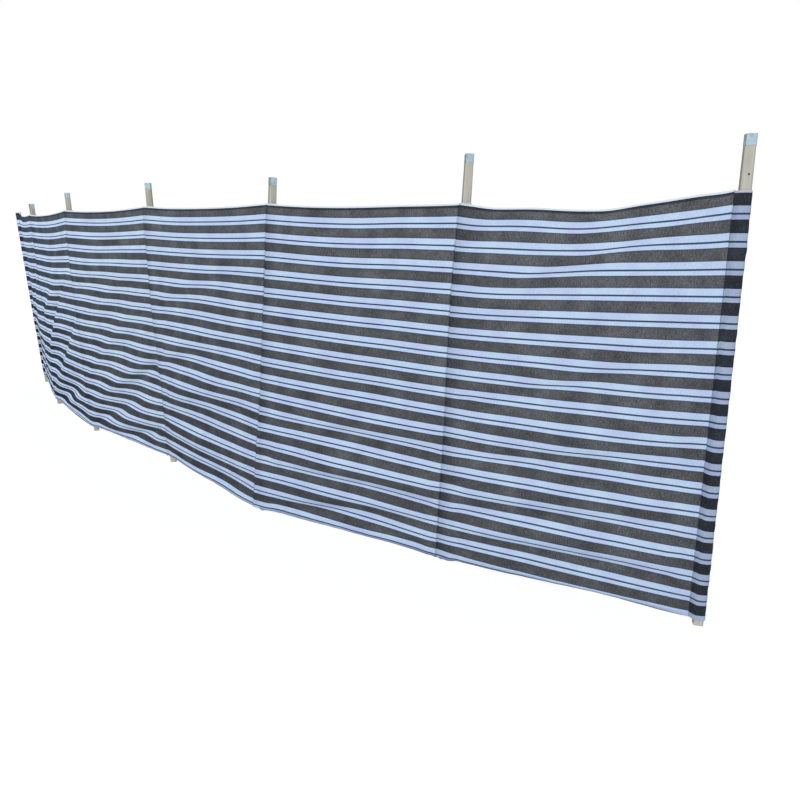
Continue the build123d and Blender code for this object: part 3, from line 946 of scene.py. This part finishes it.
def planed_softwood(pole, sunny, knot):
    """Planed softwood, left bare and weathered pale: straight grain along the pole, drawn
    as streaks 3 mm wide, and on one pole a small knot. Matt, a little smoother on the pale
    early wood. Painted light and shade: the face towards the sun has the full colour, the
    others are painted darker and greyer, as in shade."""
    material, tree = start(bpy.data.materials, f"planed_softwood_{pole + 1}")
    at = add(tree, "TexCoord").outputs["Object"]
    x, y, z = add(tree, "SeparateXYZ", {0: at}).outputs
    # Straighten the leaning pole, so that its grain follows it.
    level = []
    for across, run in zip((x, y), lean[pole]):
        inputs = {0: z, 1: -float(run), 2: across}
        level.append(add(tree, "Math", inputs, operation="MULTIPLY_ADD").outputs[0])
    straight = add(tree, "CombineXYZ", {0: level[0], 1: level[1], 2: z}).outputs[0]
    moved = (float(foot[pole][0]) * GRAIN_SHIFT, 0, 0)
    streaks = []
    for scale, location in ((GRAIN_SCALE, moved), (WEAR_SCALE, (0, 0, 0))):
        inputs = {"Vector": straight, "Scale": scale, "Location": location}
        streak = add(tree, "Mapping", inputs).outputs[0]
        inputs = {"Vector": streak, "Scale": 1.0, "Detail": 3.0}
        streaks.append(add(tree, "TexNoise", inputs).outputs[0])
    tone = 0.0
    for streak in streaks:
        inputs = {0: streak, 1: 1 / len(streaks), 2: tone}
        tone = add(tree, "Math", inputs, operation="MULTIPLY_ADD").outputs[0]
    wood = add(tree, "ValToRGB", {0: tone}, WOOD).outputs[0]
    # Painted shade: the faces turned from the sun are darker and greyer.
    shaded_wood = add(tree, "VectorMath", {0: wood, 1: WOOD_SHADE_KEPT}, operation="MULTIPLY").outputs[0]
    wood = in_sun(tree, shaded_wood, wood, sunny, 0.35, 0.6)
    if knot is not None:
        inputs = {0: at, 1: tuple(float(c) for c in knot)}
        away = add(tree, "VectorMath", inputs, operation="DISTANCE").outputs["Value"]
        inputs = {0: away, 1: KNOT_INNER, 2: KNOT_OUTER, 3: 1.0, 4: 0.0}
        ring = add(tree, "MapRange", inputs).outputs[0]
        wood = add(tree, "Mix", {0: ring, 6: wood, 7: KNOT_COLOUR}, data_type="RGBA").outputs[2]
    rough = add(tree, "MapRange", {0: tone, 1: 0.3, 2: 0.7, 3: 0.85, 4: 0.62}).outputs[0]
    grain = {"Height": streaks[0], "Strength": 0.4, "Distance": 0.4 * MM}
    grain = add(tree, "Bump", grain).outputs[0]
    finish = {"Roughness": rough, "Normal": grain, "Specular IOR Level": 0.3}
    shader = add(tree, "BsdfPrincipled", {"Base Color": wood, **finish}).outputs[0]
    add(tree, "OutputMaterial", {"Surface": shader})
    return material


ZINC = [(0.3, "#93a9b4"), (0.7, "#b2c8d2")]
ZINC_SHADE_KEPT = (0.42, 0.45, 0.45)  # painted shade: what is left of the zinc's colour on its shaded faces
SPANGLE_SCALE, GRIME_SCALE = 110.0, 160.0


def galvanised_steel(pole, sunny):
    """Hot-dip galvanised sheet: pale blue-grey zinc with a frosty spangle, crystals about 9 mm
    across that each catch the light a little differently. Painted shade: it is darker except on
    the face towards the sun."""
    material, tree = start(bpy.data.materials, f"galvanised_steel_{pole + 1}")
    place = add(tree, "TexCoord").outputs["Object"]
    inputs = {"Vector": place, "Scale": SPANGLE_SCALE}
    spangle = add(tree, "TexVoronoi", inputs).outputs["Color"]
    shade = add(tree, "SeparateColor", {0: spangle}).outputs[0]
    inputs = {"Vector": place, "Scale": GRIME_SCALE, "Detail": 3.0}
    grime = add(tree, "TexNoise", inputs).outputs[0]
    tone = 0.0
    for pattern, weight in ((shade, 0.35), (grime, 0.65)):
        inputs = {0: pattern, 1: weight, 2: tone}
        tone = add(tree, "Math", inputs, operation="MULTIPLY_ADD").outputs[0]
    zinc = add(tree, "ValToRGB", {0: tone}, ZINC).outputs[0]
    # Painted shade: the faces turned from the sun are darker.
    shaded_zinc = add(tree, "VectorMath", {0: zinc, 1: ZINC_SHADE_KEPT}, operation="MULTIPLY").outputs[0]
    zinc = in_sun(tree, shaded_zinc, zinc, sunny, 0.75, 0.95)
    rough = add(tree, "MapRange", {0: tone, 1: 0.3, 2: 0.7, 3: 0.5, 4: 0.32}).outputs[0]
    frost = add(tree, "Bump", {"Height": tone, "Strength": 0.2, "Distance": 0.2 * MM}).outputs[0]
    finish = {"Metallic": 1.0, "Roughness": rough, "Normal": frost}
    shader = add(tree, "BsdfPrincipled", {"Base Color": zinc, **finish}).outputs[0]
    add(tree, "OutputMaterial", {"Surface": shader})
    return material


# ---- floor, light and camera ----


def seen_directly(tree):
    """1 for what the camera sees straight, in a mirror or through glass, else 0."""
    path = add(tree, "LightPath").outputs
    either = path["Is Camera Ray"]
    for ray in ("Is Glossy Ray", "Is Transmission Ray"):
        either = add(tree, "Math", {0: either, 1: path[ray]}, operation="MAXIMUM").outputs[0]
    return either


def studio_floor():
    """A pale floor that shows white and keeps a soft shadow: a lit surface under an even glow
    that only the eye sees."""
    material, tree = start(bpy.data.materials, "studio_floor")
    bounce = add(tree, "BsdfDiffuse", {"Color": (0.8, 0.8, 0.8, 1)}).outputs[0]
    shaded = add(tree, "BsdfDiffuse", {"Color": (0.3, 0.3, 0.3, 1)}).outputs[0]
    glow = add(tree, "Emission", {"Color": (1, 1, 1, 1), "Strength": 0.78}).outputs[0]
    white = add(tree, "AddShader", {0: shaded, 1: glow}).outputs[0]
    shader = add(tree, "MixShader", {0: seen_directly(tree), 1: bounce, 2: white}).outputs[0]
    add(tree, "OutputMaterial", {"Surface": shader})
    mesh = bpy.data.meshes.new("floor")
    square = [(-1, -1, 0), (1, -1, 0), (1, 1, 0), (-1, 1, 0)]
    mesh.from_pydata(np.array(square) * FLOOR_HALF, [], [(0, 1, 2, 3)])
    mesh.materials.append(material)
    show("floor", mesh)


def axes_matrix(right, up, back):
    """The turn of a lamp or camera, from where its right, its top and its back point."""
    return Matrix(np.stack([right, up, back], axis=1).tolist()).to_4x4()


def studio_light():
    """An even pale surround, a broad soft key from the front, and a weak one from behind."""
    world, tree = start(bpy.data.worlds, "studio")
    bpy.context.scene.world = world
    inputs = {0: seen_directly(tree), 1: 0.0, 2: 1.0, 3: WORLD_LEVEL, 4: 1.0}
    level = add(tree, "MapRange", inputs).outputs[0]
    glow = add(tree, "Background", {"Color": (1, 1, 1, 1), "Strength": level}).outputs[0]
    add(tree, "OutputWorld", {"Surface": glow})
    for name, strength, turn, height, spread in SUNS:
        lamp = bpy.data.lights.new(name, "SUN")
        lamp.energy = strength
        lamp.angle = math.radians(spread)
        height = math.radians(height)
        level_part, side = level_way(np.radians([turn, turn + 90]))
        towards = level_part * math.cos(height) + UPRIGHT * math.sin(height)
        show(name, lamp).matrix_world = axes_matrix(side, np.cross(towards, side), towards)


def add_camera():
    """The camera: turned, tipped down and rolled a little."""
    turn, tip, roll = np.radians(CAMERA_ANGLES)
    right, level = level_way(np.array([turn, turn + math.pi / 2]))
    up = level * math.sin(tip) + UPRIGHT * math.cos(tip)
    look = level * math.cos(tip) - UPRIGHT * math.sin(tip)
    across = right * math.cos(roll) + up * math.sin(roll)
    upright = up * math.cos(roll) - right * math.sin(roll)
    lens = bpy.data.cameras.new("camera")
    lens.lens = CAMERA_LENS_MM
    lens.sensor_width = SENSOR_MM
    lens.sensor_fit = "HORIZONTAL"
    lens.clip_end = 200
    camera = show("camera", lens)
    camera.matrix_world = Matrix.Translation(CAMERA_PLACE) @ axes_matrix(across, upright, -look)
    bpy.context.scene.camera = camera


# ---- put it together ----


def dress(piece, material):
    """Gives every slot of a piece this material."""
    if not piece.material_slots:
        piece.data.materials.append(material)
    for slot in piece.material_slots:
        slot.material = material


def join_cloth(pieces, materials):
    """Dresses pieces that stand for part of the cloth, and ties them to the body."""
    for piece, material in zip(pieces, materials):
        dress(piece, material)
        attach(piece, "root")


def knot_place(pole, sunny):
    """The middle of a pole's knot, on its sunny face."""
    middle = foot[pole] + lean[pole] * (cloth_high[pole] + KNOT_ABOVE_CLOTH)
    return middle + sunny * POLE_SIDE / 2 + np.cross(UPRIGHT, sunny) * KNOT_ASIDE


add_camera()
studio_floor()
studio_light()
bpy.context.scene.view_settings.view_transform = "Standard"

cotton_and_thread = woven_stripe_cotton(), polyester_thread()

for pole in range(POLES):
    sunny = pole_face(pole, SUNNY_SIDE[pole])
    knot = knot_place(pole, sunny) if pole == POLES - 1 else None
    dress(frame["nodes"][f"pole_{pole + 1}"], planed_softwood(pole, sunny, knot))
    dress(frame["nodes"][f"pole_cap_{pole + 1}"], galvanised_steel(pole, sunny))

for pole in range(POLES):
    sleeve, round_it, seam_run = pole_sleeve(pole)
    join_cloth((sleeve, seam_stitches(pole, seam_run)), cotton_and_thread)
    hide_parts(f"pole_pocket_{pole + 1}")

for bay in range(BAYS):
    cloth = cloth_bay(bay)
    stitches = hem_stitches(bay)
    join_cloth((cloth, stitches), cotton_and_thread)
    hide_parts(f"cloth_panel_{bay + 1}")
